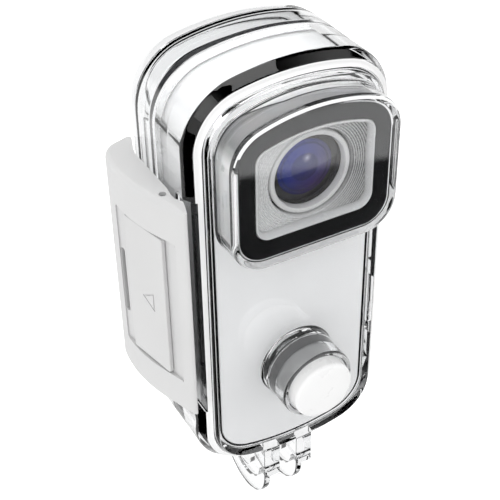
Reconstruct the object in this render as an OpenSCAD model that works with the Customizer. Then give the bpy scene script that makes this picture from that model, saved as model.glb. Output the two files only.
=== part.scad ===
// Small pill-shaped action camera inside its clear dive housing.
// Millimetres. X is across, Y runs from the lens side to the rear door, Z is up.
// The origin is the centre of the bolt hole through the two mount fingers.

/* [Housing] */

// Half width of the clear housing
housing_half_width = 16.4; // [14:0.1:20]
// Half height of the clear housing
housing_half_height = 35.7; // [30:0.1:42]
// Corner radius of the housing outline
housing_corner_radius = 9.5; // [6:0.1:12]
// Radius of the gently arched top and bottom
housing_end_radius = 40; // [32:1:60]
// Wall thickness of the clear housing
housing_wall = 2.95; // [2:0.05:3.2]
// Plane of the front window, measured from the bright front rim
front_face_y = -1.35; // [-2:0.05:-0.8]
// Plane where the front shell ends
shell_back_y = 9.75; // [9:0.05:10.5]
// Plane where the rear door starts
door_front_y = 10.05; // [9.3:0.05:10.8]
// Plane of the back of the rear door
door_back_y = 19.6; // [18:0.1:22]

/* [Lens hood] */

// Half width of the clear lens hood
hood_half_width = 13.2; // [11:0.1:14]
// Bottom edge of the lens hood
hood_bottom_z = 8.9; // [5:0.1:12]
// Top of the lens hood
hood_top_z = 32.6; // [28:0.1:33]
// Front plane of the lens hood
hood_front_y = -6.6; // [-8:0.1:-5]

/* [Shutter button] */

// Height of the button centre
button_z = -15.53; // [-22:0.1:-8]
// Outer radius of the clear button collar
collar_radius = 6.0; // [5:0.1:7]
// Radius of the white button cap
cap_radius = 4.94; // [4:0.02:5.1]
// Front plane of the button cap
cap_front_y = -9.6; // [-11:0.1:-8]
// Radius of the button shaft
shaft_radius = 1.5; // [1:0.05:2]

/* [Mount fingers] */

// Thickness of each finger at its hub
finger_thickness = 3.0; // [2.8:0.05:3.1]
// Gap between the two fingers
finger_gap = 3.2; // [3:0.05:3.4]
// Radius of the round finger ends
finger_radius = 7.5; // [6:0.1:8]
// Radius of the bolt hole
finger_bore_radius = 2.6; // [2.5:0.05:2.8]
// Depth position of the bolt hole, from the front rim
finger_bore_y = 8.4; // [7:0.1:10]
// Height of the bolt hole, from the housing centre
finger_bore_z = -42.2; // [-45:0.1:-40]

/* [Latch] */

// Top of the latch
latch_top_z = 18.0; // [12:0.1:22]
// Bottom of the latch
latch_bottom_z = -20.2; // [-24:0.1:-14]
// Side position of the latch pivot
latch_pivot_x = -17.9; // [-18.4:0.05:-17.6]
// Depth position of the latch pivot
latch_pivot_y = 5.0; // [4:0.1:6]

/* [Camera] */

// Half width of the camera body
camera_half_width = 13.2; // [11:0.1:13.2]
// Half height of the camera body
camera_half_height = 32.45; // [28:0.05:32.5]
// Height of the lens centre
lens_z = 20.86; // [18:0.01:23]

/* [Hidden] */

// node to draw, one name or all
// every named piece

$fn = 64;
// small overlap for cuts
e = 0.01;
// outline offset of the inner cavity
d_cav = housing_wall;
// outline offset of the camera body
d_cam = housing_half_width - camera_half_width;
hinge_x = housing_half_width + 2.2;
hinge_y = (shell_back_y + door_front_y) / 2;
half_gap = finger_gap / 2;
// front face of the camera
cam_front_y = 0.9;
cam_split_y = 3.85;
cam_back_y = 15.2;
// inner face of the front window
window_in_y = 0.65;
// button stations
collar_front_y = -7.8;
collar_floor_y = -2.3;
cap_back_y = -4.2;
// travel of the sliding lock
slide_dx = -0.2064;
slide_dy = 0.9785;

// points of an outline with round corners and arched ends, upper right quarter
function quarter(a, h, r, R) =
  let (s = (a - r) / (R - r), th = asin(s), k = (h - R) + (R - r) * cos(th))
  concat([for (i = [0:9]) let (t = i * (90 - th) / 10) [a - r + r * cos(t), k + r * sin(t)]],
         [for (i = [0:6]) let (t = th * (1 - i / 6)) [R * sin(t), h - R + R * cos(t)]]);
function mirrored(q, sx, sz) = [for (p = q) [sx * p[0], sz * p[1]]];
function turned(q) = [for (i = [len(q) - 1:-1:0]) q[i]];
function head(q) = [for (i = [0:len(q) - 2]) q[i]];
function tail(q) = [for (i = [1:len(q) - 1]) q[i]];
// whole pill outline, inset by d
function pill(d) =
  let (q = quarter(housing_half_width - d, housing_half_height - d, housing_corner_radius - d, housing_end_radius - d))
  concat(q, tail(turned(mirrored(q, -1, 1))), mirrored(q, -1, -1), tail(turned(mirrored(q, 1, -1))));
// arched window outline: flat bottom, round corners, arched top, inset by d
function arch(a, z0, z1, rb, rt, R, d) =
  let (m = (z0 + z1) / 2,
       q = [for (p = quarter(a - d, z1 - d - m, rt - d, R - d)) [p[0], p[1] + m]],
       b = [for (i = [0:8]) let (t = -90 + i * 90 / 8) [a - rb + (rb - d) * cos(t), z0 + rb + (rb - d) * sin(t)]])
  concat(b, q, tail(turned(mirrored(q, -1, 1))), turned(mirrored(b, -1, 1)));
function hood(d) = arch(hood_half_width, hood_bottom_z, hood_top_z, 5.2, 6.2, 28, d);
function square_arch(d) = arch(9.35, 13.1, 28.7, 2.4, 2.2, 26, d);

// moves the front-rim frame to the bolt-hole frame
module place() translate([0, -finger_bore_y, -finger_bore_z]) children();
// extrudes an X-Z outline from y0 to y1
module slab(y0, y1) translate([0, y1, 0]) rotate([90, 0, 0]) linear_extrude(y1 - y0) children();
// cylinder along Y
module rod(r, y0, y1, x = 0, z = 0) translate([x, y1, z]) rotate([90, 0, 0]) cylinder(r = r, h = y1 - y0);
// ring along Y
module ring(r, ri, y0, y1, x = 0, z = 0) difference() {
  rod(r, y0, y1, x, z);
  rod(ri, y0 - 1, y1 + 1, x, z);
}
// box from two corners
module box(a, b) translate(a) cube([b[0] - a[0], b[1] - a[1], b[2] - a[2]]);
// upright cylinder
module post(r, x, y, z0, z1) translate([x, y, z0]) cylinder(r = r, h = z1 - z0);

// ---------------------------------------------------------------- housing

module finger(x0) {
  // thin cheek, then the thicker root and hub on its inner side; clear of the door above
  translate([x0, 0, 0]) difference() {
   union() {
    box([0, finger_bore_y - finger_radius, finger_bore_z], [1.2, finger_bore_y + finger_radius, -36.05]);
    translate([0, finger_bore_y, finger_bore_z]) rotate([0, 90, 0]) cylinder(r = finger_radius, h = 1.2);
    box([0, finger_bore_y - finger_radius, finger_bore_z - 0.2], [finger_thickness, finger_bore_y + finger_radius, -36.05]);
    box([0, finger_bore_y - finger_radius, finger_bore_z + 3], [finger_thickness, shell_back_y, -34.6]);
    translate([0, finger_bore_y, finger_bore_z]) rotate([0, 90, 0]) cylinder(r = 5, h = finger_thickness);
   }
   box([-1, shell_back_y, -36.05], [5, 20, -30]);
  }
}

module front_shell() place() color([0.93, 0.95, 0.96, 0.3]) difference() {
  union() {
    hull() {
      slab(front_face_y, front_face_y + 0.05) polygon(pill(2.5));
      slab(-0.06, 0) polygon(pill(1.4));
      slab(1.75, 1.8) polygon(pill(0));
    }
    slab(1.8 - e, shell_back_y) polygon(pill(0));
    hull() {
      slab(hood_front_y, hood_front_y + 0.05) polygon(hood(0.7));
      slab(hood_front_y + 0.65, hood_front_y + 0.7) polygon(hood(0));
    }
    slab(hood_front_y + 0.7 - e, front_face_y + 0.5) polygon(hood(0));
    rod(collar_radius + 0.15, -3.2, 0, 0, button_z);
    rod(collar_radius, collar_front_y, 0, 0, button_z);
    finger(-half_gap - finger_thickness);
    finger(half_gap);
    // latch lugs
    for (z = [[-18.8, -15.2], [12.9, 16.6]]) {
      box([latch_pivot_x, latch_pivot_y - 0.95, z[0]], [-housing_half_width + 1, latch_pivot_y + 0.95, z[1]]);
      post(0.95, latch_pivot_x, latch_pivot_y, z[0], z[1]);
    }
    // door knuckles
    for (z = [[-20, -8.2], [8.2, 20]]) {
      box([housing_half_width - 1, hinge_y - 4.5, z[0]], [hinge_x, hinge_y - 0.5, z[1]]);
      post(2, hinge_x, hinge_y, z[0], z[1]);
    }
  }
  slab(window_in_y, shell_back_y + 1) polygon(pill(d_cav));
  slab(hood_front_y + 1.15, window_in_y + 1) polygon(hood(0.95));
  // collar counterbore, shaft bore and circlip pocket
  rod(5.14, collar_front_y - 1, collar_floor_y, 0, button_z);
  rod(shaft_radius + 0.05, collar_floor_y - 1, window_in_y + 1, 0, button_z);
  rod(3.3, -0.55, window_in_y + 1, 0, button_z);
  // mount bolt hole
  translate([-10, finger_bore_y, finger_bore_z]) rotate([0, 90, 0]) cylinder(r = finger_bore_radius, h = 20);
  // swing room for the front edge of the latch
  box([-housing_half_width - 5, -3, latch_bottom_z - 0.4], [-housing_half_width + 1.35, latch_pivot_y - 0.95, latch_top_z + 0.4]);
  // pin bores
  post(0.53, latch_pivot_x, latch_pivot_y, -30, 30);
  post(0.83, hinge_x, hinge_y, -30, 30);
}

module rear_door() place() color([0.93, 0.95, 0.96, 0.3]) difference() {
  union() {
    slab(door_front_y, 15.9) polygon(pill(0));
    slab(15.9 - e, 16.05) polygon(pill(0.25));
    hull() {
      slab(16.0, 16.05) polygon(pill(0.06));
      slab(17.6, 17.65) polygon(pill(0.25));
      slab(18.9, 18.95) polygon(pill(0.8));
      slab(door_back_y - 0.05, door_back_y) polygon(pill(1.6));
    }
    box([housing_half_width - 1, hinge_y + 0.5, -7.9], [hinge_x, hinge_y + 4.5, 7.9]);
    post(2, hinge_x, hinge_y, -7.9, 7.9);
  }
  hull() {
    slab(door_front_y - 1, 16.2) polygon(pill(d_cav - 0.5));
    slab(17.15, 17.2) polygon(pill(d_cav + 0.5));
  }
  slab(18.6, door_back_y + 1) polygon(pill(4));
  // gasket groove
  difference() {
    slab(door_front_y - 1, 12.1) polygon(pill(0.95));
    slab(door_front_y - 2, 13) polygon(pill(1.95));
  }
  post(0.85, hinge_x, hinge_y, -30, 30);
}

module door_gasket() place() color([0.10, 0.10, 0.11]) difference() {
  slab(shell_back_y + 0.05, 12.08) polygon(pill(1.0));
  slab(shell_back_y - 1, 13) polygon(pill(1.9));
}

module door_hinge_pin() place() color([0.75, 0.75, 0.76]) union() {
  post(0.8, hinge_x, hinge_y, -20, 20);
}

// latch outline seen from above
latch_outline = [[-17.1, -0.9], [-17.45, -1], [-17.75, -0.4], [-18.35, 2.2], [-19.45, 5], [-20.25, 7.6], [-20.85, 10.5],
  [-21.1, 13.5], [-20.9, 17], [-20.3, 19.3], [-19.2, 20.7], [-17.6, 21.4], [-16.2, 21.4], [-15.4, 21.0], [-15.35, 20.5],
  [-16.45, 17.65], [-16.75, 16.4], [-16.75, 6.0], [-17.0, 4.4], [-16.95, 3.2], [-16.3, 2.0], [-16.32, 1.5]];

// box in the sliding lock's own frame: u along the panel, w outwards
module panel_box(u0, u1, w0, w1, z0, z1)
  translate([-18.35, 2.2, 0]) rotate([0, 0, atan2(-slide_dx, slide_dy)]) box([-w1, u0, z0], [-w0, u1, z1]);

module latch_lever() place() color([0.90, 0.90, 0.90]) difference() {
  translate([0, 0, latch_bottom_z]) linear_extrude(latch_top_z - latch_bottom_z) polygon(latch_outline);
  // lug slots
  for (z = [[-19.05, -14.95], [12.65, 16.85]]) {
    post(1.1, latch_pivot_x, latch_pivot_y, z[0], z[1]);
    box([latch_pivot_x - 0.75, latch_pivot_y - 1.9, z[0]], [-16, latch_pivot_y + 1.15, z[1]]);
  }
  // recessed panel, guide grooves and finger slot
  panel_box(-0.9, 13.2, -0.25, 3, -13.9, 11.6);
  panel_box(12.2, 13.1, -2.4, 1, -8.3, 3.7);
  panel_box(1.0, 13.2, -0.25, 0.15, -14.6, 12.3);
  // stepped notch at the lower front corner
  box([-19, -1.5, latch_bottom_z - 1], [-16, 0.3, latch_bottom_z + 1.1]);
  // rounded long edges top and bottom are finished on the surface; pin bore
  post(0.55, latch_pivot_x, latch_pivot_y, -30, 30);
}

module latch_pin() place() color([0.75, 0.75, 0.76]) union() {
  post(0.5, latch_pivot_x, latch_pivot_y, latch_bottom_z + 0.4, latch_top_z - 0.4);
}

module lock_slider() place() color([0.90, 0.90, 0.90]) difference() {
  union() {
    panel_box(1.7, 10.6, -0.2, 0.5, -13.6, 11.3);
    panel_box(1.7, 10.6, -0.2, 0.1, -14.4, 12.1);
  }
  // engraved arrow outline pointing to the rear
  translate([-18.35, 2.2, -1.6]) rotate([0, 0, atan2(-slide_dx, slide_dy)])
    translate([-0.25, 0, 0]) rotate([0, -90, 0]) linear_extrude(1) difference() {
      polygon([[-1.8, 4.5], [1.8, 4.5], [0, 7.3]]);
      polygon([[-1.25, 4.8], [1.25, 4.8], [0, 6.75]]);
    }
}

// ---------------------------------------------------------------- shutter button of the housing

module button_cap() place() color([0.92, 0.92, 0.92]) difference() {
  union() {
    rod(cap_radius, cap_front_y + 0.5, cap_back_y, 0, button_z);
    translate([0, cap_front_y + 0.5, button_z]) rotate([90, 0, 0]) cylinder(r1 = cap_radius, r2 = cap_radius - 0.5, h = 0.5);
  }
  difference() {
    rod(4.0, cap_front_y + 1.4, 0, 0, button_z);
    rod(2.4, cap_front_y + 1, -6.0, 0, button_z);
  }
  rod(shaft_radius, cap_front_y + 1.4, 0, 0, button_z);
}

module button_shaft() place() color([0.72, 0.72, 0.74]) difference() {
  rod(shaft_radius, cap_front_y + 1.4, 0.55, 0, button_z);
  for (y = [-2.02, -1.56]) ring(2.5, 1.12, y - 0.21, y + 0.21, 0, button_z);
  ring(2.5, 1.0, -0.42, -0.08, 0, button_z);
}

module button_o_rings() place() color([0.12, 0.12, 0.13]) union() {
  for (y = [-2.02, -1.56]) translate([0, y, button_z]) rotate([90, 0, 0])
    rotate_extrude() translate([1.33, 0]) circle(r = 0.19);
}

module button_circlip() place() color([0.6, 0.6, 0.62]) difference() {
  ring(2.9, 1.02, -0.38, -0.12, 0, button_z);
  box([-0.6, -1, button_z - 4], [0.6, 1, button_z - 0.6]);
}

// coil of the return spring as one swept wire
coil_turns = 4;
coil_steps = 24;
coil_sides = 8;
coil_y0 = -8.1;
coil_y1 = -2.4;
coil_r = 2.9;
coil_wire = 0.3;
module button_spring() place() color([0.7, 0.7, 0.72]) {
  n = coil_turns * coil_steps;
  pts = [for (i = [0:n]) for (j = [0:coil_sides - 1])
    let (t = 360 * i / coil_steps, s = 360 * j / coil_sides,
         y = coil_y0 + coil_wire + (coil_y1 - coil_y0 - 2 * coil_wire) * i / n,
         r = coil_r + coil_wire * cos(s))
    [r * cos(t), y + coil_wire * sin(s), button_z + r * sin(t)]];
  faces = concat(
    [[for (j = [0:coil_sides - 1]) j]],
    [for (i = [0:n - 1]) for (j = [0:coil_sides - 1])
      let (k = (j + 1) % coil_sides) [i * coil_sides + j, (i + 1) * coil_sides + j, (i + 1) * coil_sides + k]],
    [for (i = [0:n - 1]) for (j = [0:coil_sides - 1])
      let (k = (j + 1) % coil_sides) [i * coil_sides + j, (i + 1) * coil_sides + k, i * coil_sides + k]],
    [[for (j = [coil_sides - 1:-1:0]) n * coil_sides + j]]);
  polyhedron(points = pts, faces = faces, convexity = 10);
}

// ---------------------------------------------------------------- camera body

module camera_front_panel() place() color([0.93, 0.93, 0.93]) difference() {
  slab(cam_front_y, 2.0) polygon(pill(d_cam + 0.45));
  slab(0, 3) polygon(hood(1.15));
  rod(4.8, 0, 3, 0, button_z);
}

module camera_frame() place() color([0.03, 0.03, 0.035]) union() {
  difference() {
    slab(1.0, cam_split_y) polygon(pill(d_cam));
    slab(0, 2.03) polygon(pill(d_cam + 0.42));
    slab(0, 5) polygon(pill(d_cam + 1.7));
  }
  difference() {
    for (x = [-10.5, 10.5]) for (z = [-23, 23]) {
      rod(1.5, 2.05, cam_split_y, x, z);
      box([min(x, sign(x) * 12.2), 2.05, z - 1], [max(x, sign(x) * 12.2), cam_split_y, z + 1]);
    }
    for (x = [-10.5, 10.5]) for (z = [-23, 23]) rod(0.8, 0, 6, x, z);
  }
}

module camera_rear_cover() place() color([0.92, 0.92, 0.92]) difference() {
  union() {
    difference() {
      slab(cam_split_y + 0.03, cam_back_y) polygon(pill(d_cam));
      slab(0, cam_back_y - 1.3) polygon(pill(d_cam + 1.3));
    }
    for (x = [-10.5, 10.5]) for (z = [-23, 23]) {
      rod(1.5, cam_split_y + 0.03, 7.5, x, z);
      box([min(x, sign(x) * 12.4), cam_split_y + 0.03, z - 1], [max(x, sign(x) * 12.4), 7.5, z + 1]);
    }
  }
  for (x = [-10.5, 10.5]) for (z = [-23, 23]) rod(0.55, 0, 7, x, z);
  // microphone slot in the top, socket cut-out in the side
  box([3.6, 12.2, 29], [5.4, 12.9, 34]);
  box([10, 7.4, -16.6], [15, 10.9, -7.4]);
  // magnet pockets
  for (z = [-27, 27]) rod(2.75, 13, 14.85, 0, z);
}

module record_button() place() color([0.90, 0.90, 0.90]) union() {
  rod(4.45, cam_front_y + 0.05, 1.75, 0, button_z);
  rod(1.6, 1.7, 2.7, 0, button_z);
}

module record_switch() place() color([0.35, 0.35, 0.36]) union() {
  box([-2.6, 4.6, button_z - 2.6], [2.6, 5.88, button_z + 2.6]);
  rod(1.5, 3.9, 4.65, 0, button_z);
}

module lens_housing() place() color([0.93, 0.93, 0.93]) difference() {
  slab(-4.7, 1.98) polygon(hood(1.2));
  slab(-6, 3) polygon(square_arch(-0.25));
  // small vent in the side wall
  translate([-13, -2.9, 24.7]) rotate([0, 90, 0]) cylinder(r = 0.45, h = 2);
}

module lens_panel() place() color([0.02, 0.02, 0.025]) difference() {
  slab(-5.25, -4.72) polygon(hood(1.25));
  slab(-6, 3) polygon(square_arch(-0.1));
}

module lens_trim() place() color([0.8, 0.8, 0.81]) difference() {
  union() {
    slab(-5.3, -2.4) polygon(square_arch(0));
    slab(-4.6, -2.4) polygon(square_arch(-0.2));
  }
  slab(-6, -1) polygon(square_arch(0.7));
}

module lens_baffle() place() color([0.5, 0.5, 0.52]) difference() {
  slab(-4.4, -1.2) polygon(square_arch(0.75));
  // stepped funnel of round ribs down to the lens
  for (i = [0:7]) rod(6.7 + 0.33 * (8 - i), -5, -4.33 + 0.05 * i, 0, lens_z);
  rod(6.7, -6, 0, 0, lens_z);
}

module lens_ring() place() color([0.85, 0.85, 0.86]) difference() {
  union() {
    rod(6.4, -3.3, -1.4, 0, lens_z);
    translate([0, -3.3, lens_z]) rotate([90, 0, 0]) cylinder(r1 = 6.4, r2 = 6.1, h = 0.5);
  }
  translate([0, -2.4, lens_z]) rotate([90, 0, 0]) cylinder(r1 = 5.45, r2 = 5.65, h = 1.5);
  rod(5.45, -3, 0, 0, lens_z);
}

module lens_barrel() place() color([0.05, 0.05, 0.055]) difference() {
  union() {
    rod(6.4, -1.38, 4.0, 0, lens_z);
    rod(5.4, 3.9, 9.6, 0, lens_z);
  }
  rod(5.45, -3, 0.1, 0, lens_z);
  rod(4.1, -1, 4.4, 0, lens_z);
  rod(3.2, 4, 8.0, 0, lens_z);
  rod(4.3, 7.9, 11, 0, lens_z);
}

// half section of the domed front lens: radius against height
dome = [for (i = [0:10]) let (r = 5.42 * i / 10) [r, sqrt(12.8 * 12.8 - r * r) - 9.2]];
module front_lens_element() place() color([0.15, 0.16, 0.32, 0.6])
  translate([0, 0, lens_z]) rotate([90, 0, 0]) rotate_extrude() polygon(concat([[0, -0.05]], dome, [[5.42, -0.05]]));

module rear_lens_elements() place() color([0.6, 0.65, 0.75, 0.6]) union() {
  rod(4.05, 0.6, 1.9, 0, lens_z);
  rod(4.05, 2.5, 3.9, 0, lens_z);
  rod(3.15, 4.9, 6.0, 0, lens_z);
  rod(3.15, 6.6, 7.6, 0, lens_z);
}

module image_sensor() place() color([0.12, 0.16, 0.14]) box([-4.1, 9.75, lens_z - 3.6], [4.1, 10.4, lens_z + 3.6]);

module sensor_board() place() color([0.05, 0.22, 0.12]) difference() {
  box([-9, 10.42, 11.6], [9, 11.2, 29.2]);
  for (x = [-8, 8]) rod(0.6, 9, 13, x, 12.8);
}

module heat_spreader() place() color([0.78, 0.78, 0.79]) box([-9, 11.5, 11], [9, 12.1, 21.8]);

module main_board() place() color([0.05, 0.22, 0.12]) union() {
  difference() {
    box([-8.8, 5.9, -29], [8.8, 6.8, 9.8]);
    for (x = [-7.8, 7.8]) rod(0.6, 5, 8, x, 8.6);
  }
  box([-7, 5.0, -5.6], [0.6, 5.92, 2]);
}

module battery() place() color([0.25, 0.27, 0.32]) union() {
  for (x = [-6.2, 6.2]) post(2.65, x, 10.4, -24, 9);
  box([-6.2, 7.75, -24], [6.2, 13.05, 9]);
}

module speaker() place() color([0.15, 0.15, 0.16]) difference() {
  rod(3.4, 2.5, 5.6, 0, -25.2);
  ring(2.8, 2.2, 2.4, 2.9, 0, -25.2);
}

module microphone() place() color([0.7, 0.65, 0.5]) box([3.2, 11.6, 28.4], [5.8, 13.4, 30.3]);

module usb_socket() place() color([0.7, 0.7, 0.72]) difference() {
  box([9.35, 7.6, -16.4], [12.6, 10.7, -7.6]);
  box([9.95, 8.1, -15.9], [13, 10.2, -8.1]);
}

module card_socket() place() color([0.72, 0.72, 0.73]) difference() {
  box([-6.6, 2.6, -9.4], [6.6, 4.4, 6.4]);
  box([-5.8, 2.95, -10], [5.8, 4.05, 5.8]);
}

module memory_card() place() color([0.08, 0.08, 0.09]) box([-5.5, 3.1, -9.2], [5.5, 3.9, 5.6]);

module frame_screws() place() color([0.6, 0.6, 0.62]) union() {
  for (x = [-10.5, 10.5]) for (z = [-23, 23]) rod(0.5, 2.08, 6.8, x, z);
}

module holding_magnets() place() color([0.65, 0.65, 0.67]) union() {
  for (z = [-27, 27]) rod(2.7, 13.95, 14.8, 0, z);
}

front_shell();
rear_door();
door_gasket();
door_hinge_pin();
latch_lever();
latch_pin();
lock_slider();
button_cap();
button_shaft();
button_o_rings();
button_circlip();
button_spring();
camera_front_panel();
camera_frame();
camera_rear_cover();
record_button();
record_switch();
lens_housing();
lens_panel();
lens_trim();
lens_baffle();
lens_ring();
lens_barrel();
front_lens_element();
rear_lens_elements();
image_sensor();
sensor_board();
heat_spreader();
main_board();
battery();
speaker();
microphone();
usb_socket();
card_socket();
memory_card();
frame_screws();
holding_magnets();
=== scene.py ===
import bpy, bmesh, math
from mathutils import Vector, Matrix


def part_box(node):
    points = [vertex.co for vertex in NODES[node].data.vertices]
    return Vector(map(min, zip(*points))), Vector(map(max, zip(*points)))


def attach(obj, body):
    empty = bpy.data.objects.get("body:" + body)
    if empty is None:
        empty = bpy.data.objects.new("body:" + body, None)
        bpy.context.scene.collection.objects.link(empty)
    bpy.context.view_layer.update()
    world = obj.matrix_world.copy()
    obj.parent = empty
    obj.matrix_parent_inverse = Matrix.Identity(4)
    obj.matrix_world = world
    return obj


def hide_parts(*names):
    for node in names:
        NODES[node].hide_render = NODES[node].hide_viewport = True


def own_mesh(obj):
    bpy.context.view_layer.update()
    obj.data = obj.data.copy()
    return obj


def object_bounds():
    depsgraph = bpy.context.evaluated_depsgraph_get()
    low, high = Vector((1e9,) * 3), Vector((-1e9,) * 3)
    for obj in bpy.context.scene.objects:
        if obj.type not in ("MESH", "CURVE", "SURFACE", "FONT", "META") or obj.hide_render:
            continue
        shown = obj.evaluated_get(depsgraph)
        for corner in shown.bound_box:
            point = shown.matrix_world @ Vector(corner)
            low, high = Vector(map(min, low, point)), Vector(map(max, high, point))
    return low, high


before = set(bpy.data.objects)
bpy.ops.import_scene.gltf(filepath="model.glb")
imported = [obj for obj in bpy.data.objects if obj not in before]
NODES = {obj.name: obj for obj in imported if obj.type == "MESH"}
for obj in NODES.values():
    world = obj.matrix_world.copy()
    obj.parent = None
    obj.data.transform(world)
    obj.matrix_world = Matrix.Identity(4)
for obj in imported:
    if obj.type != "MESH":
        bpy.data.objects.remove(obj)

CAD_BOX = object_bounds()

# ------------------------------------------------------------------ frame
# Shapes are written in millimetres from the centre of the housing's front rim.
_lo, _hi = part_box("camera_front_panel")
OY = _lo[1] - 0.9e-3
OZ = (_lo[2] + _hi[2]) / 2


def P(x, y, z):
    return (x * 1e-3, y * 1e-3 + OY, z * 1e-3 + OZ)


HW, HH, CR, ER = 16.4, 35.7, 9.5, 40.0
LENS_Z, BTN_Z = 20.86, -15.53


def quarter(a, h, r, R, n1=18, n2=12):
    s = (a - r) / (R - r)
    th = math.asin(s)
    k = (h - R) + (R - r) * math.cos(th)
    q = []
    for i in range(n1):
        t = i * (math.pi / 2 - th) / n1
        q.append((a - r + r * math.cos(t), k + r * math.sin(t)))
    for i in range(n2 + 1):
        t = th * (1 - i / n2)
        q.append((R * math.sin(t), h - R + R * math.cos(t)))
    return q


def pill(d, sides=10):
    q = quarter(HW - d, HH - d, CR - d, ER - d)
    k = q[0][1]
    right = [(HW - d, -k + 2 * k * (i + 1) / sides) for i in range(sides - 1)]
    full = q + [(-x, z) for x, z in q[::-1]][1:]
    full += [(-x, z) for x, z in right[::-1]]
    full += [(-x, -z) for x, z in q] + [(x, -z) for x, z in q[::-1]][1:]
    full += right
    return full


def arch(a, z0, z1, rb, rt, R, d=0.0):
    m = (z0 + z1) / 2
    q = [(x, z + m) for x, z in quarter(a - d, z1 - d - m, rt - d, R - d)]
    n = 12
    b = []
    for i in range(n + 1):
        t = -math.pi / 2 + i * math.pi / 2 / n
        b.append((a - rb + (rb - d) * math.cos(t), z0 + rb + (rb - d) * math.sin(t)))
    zb, zq = b[-1][1], q[0][1]
    side = [(a - d, zb + (zq - zb) * i / 5) for i in range(1, 5)]
    right = b + side + q
    left = [(-x, z) for x, z in right[::-1]]
    return right + left[1:]


def hood(d):
    return arch(13.2, 8.9, 32.6, 5.2, 6.2, 28, d)


def square(d):
    return arch(9.35, 13.1, 28.7, 2.4, 2.2, 26, d)


# ------------------------------------------------------------------ mesh helpers
def mesh_object(name, verts, faces):
    me = bpy.data.meshes.new(name)
    me.from_pydata([P(*v) for v in verts], [], faces)
    bm = bmesh.new()
    bm.from_mesh(me)
    bmesh.ops.remove_doubles(bm, verts=bm.verts, dist=1e-7)
    bmesh.ops.dissolve_degenerate(bm, edges=bm.edges, dist=1e-7)
    bmesh.ops.recalc_face_normals(bm, faces=bm.faces)
    bm.to_mesh(me)
    bm.free()
    ob = bpy.data.objects.new(name, me)
    bpy.context.scene.collection.objects.link(ob)
    return ob


def loft(name, rings, wrap=False, caps=True):
    n = len(rings[0])
    verts = [p for r in rings for p in r]
    faces = []
    m = len(rings)
    for i in range(m if wrap else m - 1):
        a, b = i * n, ((i + 1) % m) * n
        for j in range(n):
            k = (j + 1) % n
            faces.append((a + j, a + k, b + k, b + j))
    if caps and not wrap:
        faces.append(tuple(range(n)))
        faces.append(tuple((m - 1) * n + j for j in range(n)))
    return mesh_object(name, verts, faces)


def slab(name, outline, prof, wrap=False):
    """outline(d) swept along Y: prof is [(inset, y)]."""
    return loft(name, [[(x, y, z) for x, z in outline(d)] for d, y in prof], wrap=wrap)


def lathe(name, prof, cx=0.0, cz=0.0, seg=96, wrap=False):
    """prof is [(r, y)], turned about a line along Y."""
    rings = []
    for r, y in prof:
        r = max(r, 1e-5)
        rings.append([(cx + r * math.cos(2 * math.pi * i / seg), y, cz + r * math.sin(2 * math.pi * i / seg))
                      for i in range(seg)])
    return loft(name, rings, wrap=wrap)


def lathe_z(name, prof, cx, cy, seg=48):
    rings = []
    for r, z in prof:
        r = max(r, 1e-5)
        rings.append([(cx + r * math.cos(2 * math.pi * i / seg), cy + r * math.sin(2 * math.pi * i / seg), z)
                      for i in range(seg)])
    return loft(name, rings)


def lathe_x(name, prof, cy, cz, seg=64):
    rings = []
    for r, x in prof:
        r = max(r, 1e-5)
        rings.append([(x, cy + r * math.cos(2 * math.pi * i / seg), cz + r * math.sin(2 * math.pi * i / seg))
                      for i in range(seg)])
    return loft(name, rings)


def rbox(name, a, b, r=0.2, n=4):
    """box with all edges rounded; corners a and b."""
    bm = bmesh.new()
    bmesh.ops.create_cube(bm, size=1.0)
    for v in bm.verts:
        for i in range(3):
            v.co[i] = a[i] if v.co[i] < 0 else b[i]
    if r > 0:
        bmesh.ops.bevel(bm, geom=bm.edges[:], offset=r, segments=n, profile=0.5, affect="EDGES", clamp_overlap=True)
    verts = [tuple(v.co) for v in bm.verts]
    faces = [tuple(v.index for v in f.verts) for f in bm.faces]
    bm.free()
    return mesh_object(name, verts, faces)


def boolean(base, tools, op):
    for t in tools:
        m = base.modifiers.new("cut", "BOOLEAN")
        m.operation = op
        m.solver = "EXACT"
        m.object = t
    bpy.context.view_layer.update()
    dg = bpy.context.evaluated_depsgraph_get()
    dg.update()
    me = bpy.data.meshes.new_from_object(base.evaluated_get(dg))
    base.modifiers.clear()
    old = base.data
    base.data = me
    bpy.data.meshes.remove(old)
    for t in tools:
        bpy.data.objects.remove(t)
    return base


def tidy(ob):
    bm = bmesh.new()
    bm.from_mesh(ob.data)
    bmesh.ops.remove_doubles(bm, verts=bm.verts, dist=2e-7)
    bmesh.ops.dissolve_degenerate(bm, edges=bm.edges, dist=2e-7)
    bm.to_mesh(ob.data)
    bm.free()


def shade(ob, angle=32, weighted=True):
    for p in ob.data.polygons:
        p.use_smooth = True
    ob.data.set_sharp_from_angle(angle=math.radians(angle))
    if weighted:
        m = ob.modifiers.new("normals", "WEIGHTED_NORMAL")
        m.keep_sharp = True
        m.weight = 60
    return ob


def place(ob, name, body, mat, replaces=(), angle=32, weighted=True):
    ob.name = name
    ob.data.materials.clear()
    ob.data.materials.append(mat)
    shade(ob, angle, weighted)
    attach(ob, body)
    if replaces:
        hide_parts(*replaces)
    return ob


def arc(cx, cy, r, a0, a1, n=5):
    """points of a fillet in (inset, y) or (r, y) space"""
    return [(cx + r * math.cos(math.radians(a0 + (a1 - a0) * i / n)), cy + r * math.sin(math.radians(a0 + (a1 - a0) * i / n)))
            for i in range(n + 1)]


# ------------------------------------------------------------------ materials
def base_material(name):
    m = bpy.data.materials.new(name)
    m.use_nodes = True
    nt = m.node_tree
    bs = next(n for n in nt.nodes if n.type == "BSDF_PRINCIPLED")
    out = next(n for n in nt.nodes if n.type == "OUTPUT_MATERIAL")
    tc = nt.nodes.new("ShaderNodeTexCoord")
    return m, nt, bs, out, tc


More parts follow.
